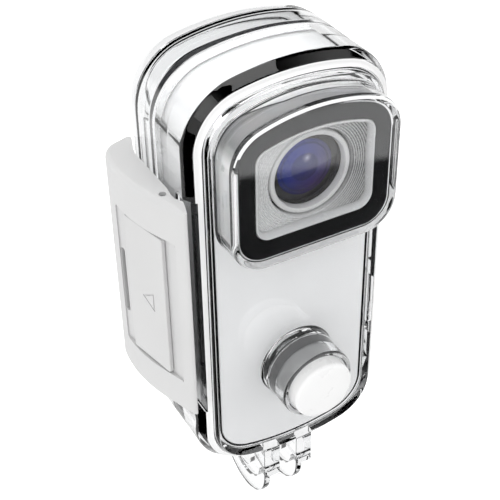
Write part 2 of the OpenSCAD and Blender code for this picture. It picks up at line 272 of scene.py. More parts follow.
def noise(nt, tc, scale, detail=3.0, rough=0.55):
    n = nt.nodes.new("ShaderNodeTexNoise")
    n.inputs["Scale"].default_value = scale
    n.inputs["Detail"].default_value = detail
    n.inputs["Roughness"].default_value = rough
    nt.links.new(tc.outputs["Object"], n.inputs["Vector"])
    return n


def ramp(nt, src, stops):
    r = nt.nodes.new("ShaderNodeValToRGB")
    el = r.color_ramp.elements
    while len(el) < len(stops):
        el.new(0.5)
    for e, (pos, col) in zip(el, stops):
        e.position = pos
        e.color = (*col, 1.0)
    nt.links.new(src, r.inputs["Fac"])
    return r


def maprange(nt, src, a, b, lo=0.0, hi=1.0):
    m = nt.nodes.new("ShaderNodeMapRange")
    m.inputs["From Min"].default_value = lo
    m.inputs["From Max"].default_value = hi
    m.inputs["To Min"].default_value = a
    m.inputs["To Max"].default_value = b
    nt.links.new(src, m.inputs["Value"])
    return m


def bump(nt, bs, src, strength, dist=0.0001):
    b = nt.nodes.new("ShaderNodeBump")
    b.inputs["Strength"].default_value = strength
    b.inputs["Distance"].default_value = dist
    nt.links.new(src, b.inputs["Height"])
    nt.links.new(b.outputs["Normal"], bs.inputs["Normal"])
    return b


def plastic(name, col, var=0.03, rough=(0.22, 0.32), grain=9000, grain_h=0.06, spec=0.5, wear=0.0, coat=0.0):
    m, nt, bs, out, tc = base_material(name)
    big = noise(nt, tc, 60, 4)
    c0 = tuple(max(0, c * (1 - var)) for c in col)
    c1 = tuple(min(1, c * (1 + var)) for c in col)
    cr = ramp(nt, big.outputs["Fac"], [(0.3, c0), (0.7, c1)])
    nt.links.new(cr.outputs["Color"], bs.inputs["Base Color"])
    smear = noise(nt, tc, 240, 5, 0.65)
    mr = maprange(nt, smear.outputs["Fac"], rough[0], rough[1], 0.3, 0.7)
    nt.links.new(mr.outputs["Result"], bs.inputs["Roughness"])
    fine = noise(nt, tc, grain, 2)
    bump(nt, bs, fine.outputs["Fac"], grain_h, 0.00002)
    bs.inputs["Specular IOR Level"].default_value = spec
    if coat:
        bs.inputs["Coat Weight"].default_value = coat
        bs.inputs["Coat Roughness"].default_value = 0.05
    return m


def metal(name, col, rough=(0.18, 0.3), streak=None, var=0.04):
    m, nt, bs, out, tc = base_material(name)
    bs.inputs["Metallic"].default_value = 1.0
    n = noise(nt, tc, 400, 4)
    c0 = tuple(c * (1 - var) for c in col)
    c1 = tuple(min(1, c * (1 + var)) for c in col)
    cr = ramp(nt, n.outputs["Fac"], [(0.3, c0), (0.7, c1)])
    nt.links.new(cr.outputs["Color"], bs.inputs["Base Color"])
    f = noise(nt, tc, 5000, 3)
    mr = maprange(nt, f.outputs["Fac"], rough[0], rough[1], 0.3, 0.7)
    nt.links.new(mr.outputs["Result"], bs.inputs["Roughness"])
    bump(nt, bs, f.outputs["Fac"], 0.05, 0.00001)
    return m


def clear(name, tint=(0.985, 0.99, 0.995), rough=(0.0, 0.03), ior=1.5, shadow=(0.96, 0.965, 0.97)):
    """moulded clear plastic that lets the lamps through"""
    m, nt, bs, out, tc = base_material(name)
    n = noise(nt, tc, 90, 4)
    cr = ramp(nt, n.outputs["Fac"], [(0.3, tuple(c * 0.99 for c in tint)), (0.7, tint)])
    nt.links.new(cr.outputs["Color"], bs.inputs["Base Color"])
    s = noise(nt, tc, 700, 6, 0.7)
    mr = maprange(nt, s.outputs["Fac"], rough[0], rough[1], 0.35, 0.75)
    nt.links.new(mr.outputs["Result"], bs.inputs["Roughness"])
    w = noise(nt, tc, 140, 2)
    bump(nt, bs, w.outputs["Fac"], 0.02, 0.00003)
    bs.inputs["Transmission Weight"].default_value = 1.0
    bs.inputs["IOR"].default_value = ior
    lp = nt.nodes.new("ShaderNodeLightPath")
    tr = nt.nodes.new("ShaderNodeBsdfTransparent")
    tr.inputs["Color"].default_value = (*shadow, 1)
    mix = nt.nodes.new("ShaderNodeMixShader")
    nt.links.new(lp.outputs["Is Shadow Ray"], mix.inputs["Fac"])
    nt.links.new(bs.outputs["BSDF"], mix.inputs[1])
    nt.links.new(tr.outputs["BSDF"], mix.inputs[2])
    nt.links.new(mix.outputs["Shader"], out.inputs["Surface"])
    return m


def radial(nt, tc, cx, cz):
    """distance in millimetres from a line along Y through (cx, cz)"""
    c = P(cx, 0, cz)
    sub = nt.nodes.new("ShaderNodeVectorMath")
    sub.operation = "SUBTRACT"
    sub.inputs[1].default_value = c
    nt.links.new(tc.outputs["Object"], sub.inputs[0])
    mul = nt.nodes.new("ShaderNodeVectorMath")
    mul.operation = "MULTIPLY"
    mul.inputs[1].default_value = (1000, 0, 1000)
    nt.links.new(sub.outputs["Vector"], mul.inputs[0])
    ln = nt.nodes.new("ShaderNodeVectorMath")
    ln.operation = "LENGTH"
    nt.links.new(mul.outputs["Vector"], ln.inputs[0])
    return ln


CLEAR = clear("clear_shell")
WHITE = plastic("white_camera", (0.92, 0.92, 0.92), rough=(0.28, 0.38))
glow_bsdf = next(x for x in WHITE.node_tree.nodes if x.type == "BSDF_PRINCIPLED")
# painted light: a faint white emission makes the camera's white plastic glow brighter than its lighting gives
glow_bsdf.inputs["Emission Color"].default_value = (1, 1, 1, 1)
glow_bsdf.inputs["Emission Strength"].default_value = 0.15
WHITE_LATCH = plastic("white_latch", (0.47, 0.47, 0.47), rough=(0.30, 0.42), grain=7000, grain_h=0.1)
WHITE_BACK = plastic("white_cover", (0.82, 0.82, 0.82), rough=(0.35, 0.45), grain=6000, grain_h=0.1)
WHITE_CAP = plastic("white_cap", (0.66, 0.66, 0.66), rough=(0.25, 0.35))
BLACK = plastic("black_gloss", (0.004, 0.004, 0.0045), var=0.2, rough=(0.08, 0.14), grain_h=0.02)
PANEL = plastic("black_panel", (0.012, 0.012, 0.0125), var=0.15, rough=(0.0, 0.012), grain_h=0.0)
DARK = plastic("black_satin", (0.012, 0.012, 0.013), var=0.2, rough=(0.4, 0.55), grain_h=0.15)
GASKET = plastic("gasket_dark", (0.018, 0.018, 0.02), var=0.2, rough=(0.5, 0.65), grain=3000, grain_h=0.2, spec=0.3)
RUBBER = plastic("seal_rubber", (0.01, 0.01, 0.01), var=0.2, rough=(0.5, 0.65), grain=3000, grain_h=0.2)
STEEL = metal("stainless", (0.56, 0.57, 0.58))
TRIM = plastic("silver_trim", (0.70, 0.70, 0.70), rough=(0.22, 0.3), grain=8000, grain_h=0.05, spec=0.7)

RING = plastic("satin_ring", (0.72, 0.72, 0.715), rough=(0.25, 0.35), grain=8000, grain_h=0.05, spec=0.7)
BOARD = plastic("board_green", (0.01, 0.07, 0.03), var=0.2, rough=(0.3, 0.45))
FOIL = metal("battery_foil", (0.45, 0.47, 0.52), rough=(0.3, 0.45))
GOLD = metal("gold_tone", (0.72, 0.58, 0.3))
LENSGLASS = clear("lens_glass", tint=(0.93, 0.94, 1.0), rough=(0.0, 0.01), ior=1.52)


def lens_coat_and_glint(name):
    """coated lens seen through the front glass: dark rim, deep blue coating above and darker navy below, violet toward
    the lower right; the brighter upper half is painted reflection, the concentric bands are painted shading, and a
    small painted catchlight sits above the centre
    """
    m, nt, bs, out, tc = base_material(name)
    ln = radial(nt, tc, 0, LENS_Z)
    sep = nt.nodes.new("ShaderNodeSeparateXYZ")
    sub = nt.nodes.new("ShaderNodeVectorMath")
    sub.operation = "SUBTRACT"
    sub.inputs[1].default_value = P(0, 0, LENS_Z)
    nt.links.new(tc.outputs["Object"], sub.inputs[0])
    nt.links.new(sub.outputs["Vector"], sep.inputs[0])

    def lin(kx, kz, lo, hi):
        a_ = nt.nodes.new("ShaderNodeMath")
        a_.operation = "MULTIPLY"
        a_.inputs[1].default_value = kx * 1000
        nt.links.new(sep.outputs["X"], a_.inputs[0])
        b_ = nt.nodes.new("ShaderNodeMath")
        b_.operation = "MULTIPLY_ADD"
        b_.inputs[1].default_value = kz * 1000
        nt.links.new(sep.outputs["Z"], b_.inputs[0])
        nt.links.new(a_.outputs[0], b_.inputs[2])
        return maprange(nt, b_.outputs[0], 0, 1, lo, hi)

    def mix(f, a_, b_):
        x_ = nt.nodes.new("ShaderNodeMix")
        x_.data_type = "RGBA"
        nt.links.new(f, x_.inputs["Factor"])
        for k, v in (("A", a_), ("B", b_)):
            if isinstance(v, tuple):
                x_.inputs[k].default_value = (*v, 1)
            else:
                nt.links.new(v, x_.inputs[k])
        return x_.outputs["Result"]

    across = lin(1, 0, -3.5, 3.5)
    updown = lin(0, 1, -3.0, 3.0)
    # painted reflection: the upper half is painted much brighter than the lower half
    top = mix(across.outputs["Result"], (0.03, 0.09, 0.80), (0.20, 0.20, 0.50))
    low = mix(across.outputs["Result"], (0.006, 0.01, 0.20), (0.07, 0.02, 0.13))
    disc = mix(updown.outputs["Result"], low, top)
    rings_ = maprange(nt, ln.outputs["Value"], 0, 1, 0, 5.5)
    shade_ = ramp(nt, rings_.outputs["Result"], [(0.0, (0.75, 0.75, 0.75)), (0.36, (0.62, 0.62, 0.62)), (0.40, (1, 1, 1)), (0.62, (0.9, 0.9, 0.9)),
                                                 (0.66, (0.5, 0.5, 0.5)), (0.70, (0.8, 0.8, 0.8)), (0.765, (0.6, 0.6, 0.6))])
    mm = nt.nodes.new("ShaderNodeMix")
    mm.data_type = "RGBA"
    mm.blend_type = "MULTIPLY"
    mm.inputs["Factor"].default_value = 1.0
    nt.links.new(disc, mm.inputs["A"])
    nt.links.new(shade_.outputs["Color"], mm.inputs["B"])
    rim_ = maprange(nt, ln.outputs["Value"], 0, 1, 4.15, 4.3)
    col = mix(rim_.outputs["Result"], mm.outputs["Result"], (0.055, 0.052, 0.045))
    # painted catchlight: a small bright highlight painted into the base colour
    catchlight_dist = radial(nt, tc, 0.35, LENS_Z + 1.35)
    catchlight_fall = maprange(nt, catchlight_dist.outputs["Value"], 1, 0, 0.05, 1.0)
    sq = nt.nodes.new("ShaderNodeMath")
    sq.operation = "POWER"
    sq.inputs[1].default_value = 2.2
    nt.links.new(catchlight_fall.outputs["Result"], sq.inputs[0])
    col = mix(sq.outputs[0], col, (0.85, 0.85, 1.0))
    nt.links.new(col, bs.inputs["Base Color"])
    n = noise(nt, tc, 900, 3)
    rr = maprange(nt, n.outputs["Fac"], 0.06, 0.12, 0.3, 0.7)
    nt.links.new(rr.outputs["Result"], bs.inputs["Roughness"])
    bump(nt, bs, n.outputs["Fac"], 0.03, 0.00001)
    return m


LENS_COAT_AND_GLINT = lens_coat_and_glint("lens_coat_painted_glint")
PITCH = 0.34


def ribbed(name):
    """silver plate with painted shade: the grooves are painted dark, more so toward the right of the lens, and the
    plate colour is painted darker toward the right
    """
    m, nt, bs, out, tc = base_material(name)
    ln = radial(nt, tc, 0, LENS_Z)
    a_ = nt.nodes.new("ShaderNodeMath")
    a_.operation = "MULTIPLY_ADD"
    a_.inputs[1].default_value = 2 * math.pi / PITCH
    a_.inputs[2].default_value = -2 * math.pi * 6.95 / PITCH
    nt.links.new(ln.outputs["Value"], a_.inputs[0])
    c_ = nt.nodes.new("ShaderNodeMath")
    c_.operation = "COSINE"
    nt.links.new(a_.outputs[0], c_.inputs[0])
    # painted shade in the grooves, scaled up toward the right by the x mask
    g_ = maprange(nt, c_.outputs[0], 1, 0, -0.9, 0.5)
    sep = nt.nodes.new("ShaderNodeSeparateXYZ")
    nt.links.new(tc.outputs["Object"], sep.inputs[0])
    side = maprange(nt, sep.outputs["X"], 0.06, 0.95, 0.001, 0.0075)
    groove_shade = nt.nodes.new("ShaderNodeMath")
    groove_shade.operation = "MULTIPLY"
    nt.links.new(g_.outputs["Result"], groove_shade.inputs[0])
    nt.links.new(side.outputs["Result"], groove_shade.inputs[1])
    # painted shade: the plate colour runs from light at the left to darker at the right
    side_shade_ramp = ramp(nt, maprange(nt, sep.outputs["X"], 0, 1, -0.009, 0.009).outputs["Result"], [(0.0, (0.78, 0.78, 0.78)), (0.45, (0.66, 0.66, 0.66)), (1.0, (0.5, 0.5, 0.5))])
    x_ = nt.nodes.new("ShaderNodeMix")
    x_.data_type = "RGBA"
    nt.links.new(groove_shade.outputs[0], x_.inputs["Factor"])
    nt.links.new(side_shade_ramp.outputs["Color"], x_.inputs["A"])
    x_.inputs["B"].default_value = (0.06, 0.06, 0.062, 1)
    nt.links.new(x_.outputs["Result"], bs.inputs["Base Color"])
    n = noise(nt, tc, 2500, 3)
    rr = maprange(nt, n.outputs["Fac"], 0.22, 0.34, 0.3, 0.7)
    nt.links.new(rr.outputs["Result"], bs.inputs["Roughness"])
    bump(nt, bs, n.outputs["Fac"], 0.05, 0.00001)
    bs.inputs["Specular IOR Level"].default_value = 0.7
    return m


BAFFLE = ribbed("silver_baffle")


def lens_white(name):
    """satin white moulding with painted shade: painted grey toward its top shoulder, with a painted dark shadow line
    along the step
    """
    m, nt, bs, out, tc = base_material(name)
    sep = nt.nodes.new("ShaderNodeSeparateXYZ")
    nt.links.new(tc.outputs["Object"], sep.inputs[0])
    z0 = P(0, 0, 25.6)[2]
    z1 = P(0, 0, 27.2)[2]
    # painted shade: grey over the top shoulder, in front of a boundary that slants with x
    up_ = maprange(nt, sep.outputs["Z"], 0, 1, z0, z1)
    th = maprange(nt, sep.outputs["X"], P(0, -0.6, 0)[1], P(0, -2.4, 0)[1], -0.010, -0.003)
    df = nt.nodes.new("ShaderNodeMath")
    df.operation = "SUBTRACT"
    nt.links.new(th.outputs["Result"], df.inputs[0])
    nt.links.new(sep.outputs["Y"], df.inputs[1])
    fr_ = maprange(nt, df.outputs[0], 0, 1, -0.0001, 0.0001)
    mu = nt.nodes.new("ShaderNodeMath")
    mu.operation = "MULTIPLY"
    nt.links.new(up_.outputs["Result"], mu.inputs[0])
    nt.links.new(fr_.outputs["Result"], mu.inputs[1])
    c1 = ramp(nt, mu.outputs[0], [(0.0, (0.80, 0.80, 0.80)), (1.0, (0.27, 0.27, 0.27))])
    # painted shadow line along the step of the moulding
    ln_ = maprange(nt, df.outputs[0], 0, 1, -0.0005, 0.0005)
    shadow_line = ramp(nt, ln_.outputs["Result"], [(0.30, (0, 0, 0)), (0.42, (1, 1, 1)), (0.60, (1, 1, 1)), (0.72, (0, 0, 0))])
    shadow_line_top = nt.nodes.new("ShaderNodeMath")
    shadow_line_top.operation = "MULTIPLY"
    nt.links.new(shadow_line.outputs["Color"], shadow_line_top.inputs[0])
    nt.links.new(up_.outputs["Result"], shadow_line_top.inputs[1])
    cr = nt.nodes.new("ShaderNodeMix")
    cr.data_type = "RGBA"
    nt.links.new(shadow_line_top.outputs[0], cr.inputs["Factor"])
    nt.links.new(c1.outputs["Color"], cr.inputs["A"])
    cr.inputs["B"].default_value = (0.02, 0.02, 0.02, 1)
    n = noise(nt, tc, 300, 4)
    mx = nt.nodes.new("ShaderNodeMix")
    mx.data_type = "RGBA"
    mx.blend_type = "MULTIPLY"
    mx.inputs["Factor"].default_value = 0.12
    nt.links.new(cr.outputs["Result"], mx.inputs["A"])
    nt.links.new(n.outputs["Color"], mx.inputs["B"])
    nt.links.new(mx.outputs["Result"], bs.inputs["Base Color"])
    rr_ = maprange(nt, n.outputs["Fac"], 0.25, 0.4, 0.3, 0.7)
    nt.links.new(rr_.outputs["Result"], bs.inputs["Roughness"])
    f = noise(nt, tc, 7000, 2)
    bump(nt, bs, f.outputs["Fac"], 0.06, 0.00002)
    return m


LENS_WHITE = lens_white("lens_white")
# painted shade: a narrow dark strip round the hood's root stands in for the dark line seen there
ROOT_SHADE_LINE = plastic("painted_root_shade_line", (0.03, 0.03, 0.032), var=0.2, rough=(0.3, 0.45), grain=4000, grain_h=0.1)
# a dark grey band painted on the collar's bore wall round the button
COLLAR_BAND = plastic("collar_dark_band", (0.10, 0.10, 0.102), var=0.15, rough=(0.35, 0.45), grain=4000, grain_h=0.05)
# painted shade: a darker copy of the cap plastic for the cap's side inside the collar
CAP_SIDE_SHADE = plastic("cap_side_painted_shade", (0.26, 0.26, 0.262), var=0.1, rough=(0.35, 0.45), grain=5000, grain_h=0.05)
# painted highlight: pale opaque plastic on the rim band and the hood's front-top rounding stands in for their bright
# highlights
RIM_HIGHLIGHT = plastic("painted_rim_highlight", (0.68, 0.68, 0.68), rough=(0.3, 0.4), grain=6000, grain_h=0.1)

# ------------------------------------------------------------------ housing, front shell
outer = slab("s", pill, [(3.2, -1.35), (2.62, -1.35)] + [(2.62 - 0.28 * math.sin(t), -1.07 - 0.28 * math.cos(t)) for t in (0.3, 0.6, 0.9)]
             + [(1.95, -0.5), (1.82, -0.28), (1.66, -0.1), (1.5, -0.02), (1.36, 0.0), (1.22, 0.03), (1.08, 0.12), (0.94, 0.34),
                (0.55, 0.93), (0.25, 1.37), (0.10, 1.62), (0.02, 1.85), (0.0, 2.1), (0.0, 4.5), (0.0, 7.0), (0.0, 9.45),
                (0.02, 9.6), (0.08, 9.7), (0.2, 9.75)])
hoodo = slab("h", hood, [(-0.22, -0.9), (-0.22, -1.33), (-0.12, -1.38), (-0.04, -1.47), (0, -1.62), (0, -1.98), (0, -4.0), (0, -5.85),
                         (0.03, -6.08), (0.12, -6.3), (0.27, -6.47), (0.48, -6.57), (0.75, -6.6)])
collar = lathe("c", [(6.5, -1.0), (6.5, -1.3), (6.35, -1.4), (6.2, -1.6), (6.15, -1.8), (6.15, -3.08), (6.12, -3.17), (6.0, -3.2),
                     (6.0, -7.45), (5.95, -7.62), (5.85, -7.74), (5.7, -7.8)], 0, BTN_Z)


def finger_outline(thick):
    def f(d):
        r, cy, cz = 7.5 - d, 8.4, -42.2
        pts = [(2.6, -34.4), (2.2, -34.9), (0.9 + d, -35.9)]
        bottom = cz - 0.2 if thick else None
        if thick:
            pts += [(0.9 + d, bottom + d), (5.0, bottom + d)]
            # hub below the root
            hub = 5.0 - d
            a0 = math.asin((cz - (bottom + d)) / hub)
            for i in range(17):
                t = math.pi + a0 + (math.pi - 2 * a0) * i / 16
                pts.append((cy + hub * math.cos(t), cz + hub * math.sin(t)))
            pts[4] = (cy - hub * math.cos(a0) - 0.3, bottom + d)
            pts += [(cy + hub * math.cos(a0) + 0.3, bottom + d), (15.9 - d, bottom + d)]
        else:
            for i in range(33):
                t = math.pi + math.pi * i / 32
                pts.append((cy + r * math.cos(t), cz + r * math.sin(t)))
        pts += [(15.9 - d, -36.05 - d), (9.75 - 0.0, -36.05 - d), (9.75 - 0.0, -34.4)]
        return pts
    return f


def plate_x(name, outline, x0, x1, r=0.18):
    rings = []
    for x, d in ((x0, r), (x0 + r * 0.3, r * 0.3), (x0 + r, 0), (x1 - r, 0), (x1 - r * 0.3, r * 0.3), (x1, r)):
        rings.append([(x, y, z) for y, z in outline(d)])
    return loft(name, rings)


adds = [hoodo, collar]
for x0 in (-4.6, 1.6):
    adds.append(plate_x("fa", finger_outline(False), x0, x0 + 1.2))
    adds.append(plate_x("fb", finger_outline(True), x0 + 0.6, x0 + 3.0))
for z0, z1 in ((-18.8, -15.2), (12.9, 16.6)):
    adds.append(rbox("l", (-17.9, 4.05, z0), (-15.4, 5.95, z1), 0))
    adds.append(lathe_z("l", [(0.95, z0), (0.95, z1)], -17.9, 5.0))
for z0, z1 in ((-20, -8.2), (8.2, 20)):
    adds.append(rbox("k", (15.4, 5.4, z0), (18.6, 9.4, z1), 0))
    adds.append(lathe_z("k", [(1.8, z0), (2.0, z0 + 0.2), (2.0, z1 - 0.2), (1.8, z1)], 18.6, 9.9))
shell = boolean(outer, adds, "UNION")

cav = slab("c1", pill, [(3.5, 0.65), (3.3, 0.68), (3.08, 0.8), (2.97, 1.0), (2.95, 1.25), (2.95, 5.5), (2.95, 11)])
hcav = slab("c2", hood, [(1.5, -5.45), (1.25, -5.43), (1.05, -5.3), (0.96, -5.1), (0.95, -4.9), (0.95, -2.5), (0.95, 1.2)])
cuts = [cav, hcav,
        lathe("c3", [(5.34, -8.6), (5.34, -7.7), (5.2, -7.6), (5.14, -7.45), (5.14, -4.6), (5.14, -2.5), (5.0, -2.3)], 0, BTN_Z),
        lathe("c4", [(1.55, -3), (1.55, 1.5)], 0, BTN_Z),
        lathe("c5", [(3.3, -0.55), (3.3, 1.5)], 0, BTN_Z),
        lathe_x("c6", [(2.6, -10), (2.6, 10)], 8.4, -42.2),
        rbox("c7", (-21.4, -3, -20.6), (-15.05, 4.05, 18.4), 0),
        lathe_z("c8", [(0.53, -30), (0.53, 30)], -17.9, 5.0),
        lathe_z("c9", [(0.83, -30), (0.83, 30)], 18.6, 9.9)]
shell = boolean(shell, cuts, "DIFFERENCE")
tidy(shell)
place(shell, "vis_front_shell", "housing", CLEAR, ("front_shell",))
shell.data.materials.append(RIM_HIGHLIGHT)
shell.data.materials.append(ROOT_SHADE_LINE)
shell.data.materials.append(COLLAR_BAND)
for p in shell.data.polygons:
    yc = (p.center.y - OY) * 1e3
    x, z = p.center.x * 1e3, (p.center.z - OZ) * 1e3
    # slot 1 is the painted highlight: the rim band at the front edge and the hood's front-top rounding
    if -0.42 <= yc <= 0.1 and p.normal.y < -0.3:
        p.material_index = 1
    elif -6.53 < yc < -6.33 and z > 27 and p.normal.z > 0.2 and p.normal.y < -0.1:
        p.material_index = 1
    # slot 3 is the dark grey band on the collar's bore wall
    elif -4.7 < yc < -2.35 and abs(p.normal.y) < 0.1 and math.hypot(x, z - BTN_Z) < 5.3 and math.hypot(x, z - BTN_Z) > 4.9:
        p.material_index = 3
    # slot 2 is the painted shade line round the hood's root
    elif -1.99 < yc < -1.61 and abs(p.normal.y) < 0.1 and z > 8.5 and abs(x) < 13.3 and abs(z - BTN_Z) > 8:
        p.material_index = 2

# ------------------------------------------------------------------ rear door
door = slab("d", pill, [(0.2, 10.05), (0.08, 10.1), (0.02, 10.2), (0.0, 10.35), (0.0, 13), (0.0, 15.8), (0.02, 15.87), (0.08, 15.9),
                        (0.25, 15.91), (0.25, 16.02), (0.1, 16.04), (0.06, 16.1), (0.07, 16.4), (0.1, 16.8), (0.16, 17.3),
                        (0.3, 17.9), (0.52, 18.4), (0.8, 18.85), (1.15, 19.2), (1.55, 19.43), (2.0, 19.56), (2.5, 19.6)])
door = boolean(door, [rbox("k", (15.4, 10.4, -7.9), (18.6, 14.4, 7.9), 0),
                      lathe_z("k", [(1.8, -7.9), (2.0, -7.7), (2.0, 7.7), (1.8, 7.9)], 18.6, 9.9)], "UNION")
groove = slab("g", pill, [(0.95, 9), (0.95, 12.1), (1.95, 12.1), (1.95, 9)], wrap=True)
door = boolean(door, [slab("c", pill, [(2.45, 9), (2.45, 12), (2.45, 16.0), (2.5, 16.4), (2.68, 16.8), (2.98, 17.08), (3.4, 17.2)]),
                      slab("p", pill, [(4.4, 18.6), (4.14, 18.64), (4.0, 18.78), (3.96, 19.2), (3.86, 19.45), (3.6, 19.62), (3.2, 19.9)]),
                      groove,
                      lathe_z("b", [(0.85, -30), (0.85, 30)], 18.6, 9.9)], "DIFFERENCE")
tidy(door)
place(door, "vis_rear_door", "door", CLEAR, ("rear_door",))

gk = slab("vis_gasket", pill, [(1.2, 9.8), (1.05, 9.88), (1.0, 10.05), (1.0, 11.9), (1.1, 12.05), (1.3, 12.08), (1.6, 12.08), (1.8, 12.05),
                               (1.9, 11.9), (1.9, 10.05), (1.85, 9.88), (1.7, 9.8)], wrap=True)
place(gk, "vis_gasket", "door", GASKET, ("door_gasket",))

pin = lathe_z("p", [(0.6, -20), (0.8, -19.8), (0.8, 19.8), (0.6, 20)], 18.6, 9.9)
place(pin, "vis_hinge_pin", "housing", STEEL, ("door_hinge_pin",))

# ------------------------------------------------------------------ latch
LZ0, LZ1 = -20.2, 18.0


def catmull(pts, n=6):
    out = []
    for i in range(len(pts) - 1):
        p0 = pts[max(i - 1, 0)]
        p1, p2 = pts[i], pts[i + 1]
        p3 = pts[min(i + 2, len(pts) - 1)]
        for j in range(n):
            t = j / n
            out.append(tuple(0.5 * ((2 * p1[k]) + (-p0[k] + p2[k]) * t + (2 * p0[k] - 5 * p1[k] + 4 * p2[k] - p3[k]) * t * t
                                    + (-p0[k] + 3 * p1[k] - 3 * p2[k] + p3[k]) * t ** 3) for k in range(2)))
    out.append(pts[-1])
    return out


outer_pts = catmull([(-17.35, -1.0), (-17.62, -0.75), (-17.95, 0.2), (-18.5, 2.4), (-19.45, 5), (-20.25, 7.6), (-20.82, 10.5), (-21.08, 13.5),
                     (-20.9, 17), (-20.3, 19.2), (-19.2, 20.6), (-17.7, 21.3), (-16.2, 21.38)], 6)
inner_pts = [(-15.75, 21.28), (-15.45, 21.02), (-15.37, 20.6), (-15.9, 19.2), (-16.43, 17.65), (-16.75, 16.4), (-16.75, 13), (-16.75, 9.5),
             (-16.75, 6.0), (-17.0, 4.4), (-16.97, 3.2), (-16.36, 2.12), (-16.3, 1.9), (-16.33, 1.6), (-17.1, -0.85), (-17.2, -0.97)]


def seg_dist(p, a, b):
    vx, vy = b[0] - a[0], b[1] - a[1]
    L2 = vx * vx + vy * vy or 1e-12
    t = max(0.0, min(1.0, ((p[0] - a[0]) * vx + (p[1] - a[1]) * vy) / L2))
    return math.hypot(p[0] - a[0] - t * vx, p[1] - a[1] - t * vy)


LPTS = outer_pts + inner_pts
NO = len(outer_pts)
LEND = 0.9
LW = []
for i, p in enumerate(LPTS):
    if i < NO:
        th = min(seg_dist(p, inner_pts[j], inner_pts[j + 1]) for j in range(len(inner_pts) - 1))
        LW.append(min(1.0, 0.5 * th / LEND))
    else:
        LW.append(0.0)


def latch_ring(z, ins):
    n = len(LPTS)
    out = []
    for i, (x, y) in enumerate(LPTS):
        a, b = LPTS[i - 1], LPTS[(i + 1) % n]
        tx, ty = b[0] - a[0], b[1] - a[1]
        L = math.hypot(tx, ty) or 1
        out.append((x + ty / L * ins * LW[i], y - tx / L * ins * LW[i], z))
    return out


rings = []
N = 6
for i in range(N + 1):
    t = math.pi / 2 * i / N
    rings.append(latch_ring(LZ0 + LEND * (1 - math.cos(t)), LEND * (1 - math.sin(t))))
for z in (-14, -8, -2, 4, 10):
    rings.append(latch_ring(z, 0))
for i in range(N, -1, -1):
    t = math.pi / 2 * i / N
    rings.append(latch_ring(LZ1 - LEND * (1 - math.cos(t)), LEND * (1 - math.sin(t))))
latch = loft("latch", rings)

PHI = math.atan2(0.2064, 0.9785)


def pl(u, w, z):
    """point from the latch panel's own frame"""
    ux, uy = -math.sin(PHI), math.cos(PHI)
    wx, wy = -math.cos(PHI), -math.sin(PHI)
    return (-18.35 + ux * u + wx * w, 2.2 + uy * u + wy * w, z)


def rrect(u0, u1, z0, z1, r, n=6):
    pts = []
    for cu, cz, a in ((u1 - r, z1 - r, 0), (u0 + r, z1 - r, 90), (u0 + r, z0 + r, 180), (u1 - r, z0 + r, 270)):
        for i in range(n + 1):
            t = math.radians(a + 90 * i / n)
            pts.append((cu + r * math.cos(t), cz + r * math.sin(t)))
    return pts


def panel_prism(name, u0, u1, z0, z1, r, levels):
    """levels: [(w, inset)]"""
    rings = []
    for w, d in levels:
        rings.append([pl(u, w, z) for u, z in rrect(u0 + d, u1 - d, z0 + d, z1 - d, max(r - d, 0.02))])
    return loft(name, rings)


def prism(name, pts2, w0, w1):
    return loft(name, [[pl(u, w0, z) for u, z in pts2], [pl(u, w1, z) for u, z in pts2]])


lcuts = [panel_prism("r", -0.9, 13.2, -13.9, 11.6, 0.6, [(-0.25, 0.0), (0.3, 0.0), (2.5, 0.0)]),
         panel_prism("g1", -0.9, -0.7, -13.9, 11.6, 0.09, [(-0.8, 0.0), (-0.2, 0.0), (0.6, 0.0)]),
         panel_prism("g2", -0.5, 13.0, 11.42, 11.6, 0.08, [(-0.7, 0.0), (-0.2, 0.0), (0.6, 0.0)]),
         panel_prism("f", 12.2, 13.1, -8.3, 3.7, 0.4, [(-2.4, 0.0), (-1.0, 0.0), (1.0, 0.0)]),
         lathe_z("b", [(0.55, -30), (0.55, 30)], -17.9, 5.0, 32)]
for z0, z1 in ((-19.05, -14.95), (12.65, 16.85)):
    lcuts.append(lathe_z("s", [(1.1, z0), (1.1, z1)], -17.9, 5.0, 32))
    lcuts.append(rbox("s", (-18.65, 3.1, z0), (-15.5, 6.15, z1), 0))
lcuts.append(rbox("n", (-19.2, -1.5, LZ0 - 1), (-16, 0.3, LZ0 + 1.1), 0))
latch = boolean(latch, lcuts, "DIFFERENCE")
tidy(latch)
place(latch, "vis_latch", "latch", WHITE_LATCH, ("latch_lever",), angle=28)

lp_ = lathe_z("p", [(0.3, LZ0 + 0.4), (0.5, LZ0 + 0.55), (0.5, LZ1 - 0.55), (0.3, LZ1 - 0.4)], -17.9, 5.0, 32)
place(lp_, "vis_latch_pin", "housing", STEEL, ("latch_pin",))

sl = panel_prism("sl", 1.7, 10.6, -13.6, 11.3, 0.5, [(-0.2, 0.1), (-0.12, 0.0), (0.36, 0.0), (0.43, 0.03), (0.48, 0.09), (0.5, 0.18)])
tri_o = [(4.5, -1.6 - 1.8), (4.5, -1.6 + 1.8), (7.3, -1.6)]
tri_i = [(4.78, -1.6 - 1.3), (4.78, -1.6 + 1.3), (6.8, -1.6)]
ring_t = loft("t", [[pl(u, 0.38, z) for u, z in tri_o], [pl(u, 1.0, z) for u, z in tri_o],
                    [pl(u, 1.0, z) for u, z in tri_i], [pl(u, 0.38, z) for u, z in tri_i]], wrap=True)
sl = boolean(sl, [ring_t], "DIFFERENCE")
place(sl, "vis_lock_slider", "lock", WHITE_LATCH, ("lock_slider",), angle=28)

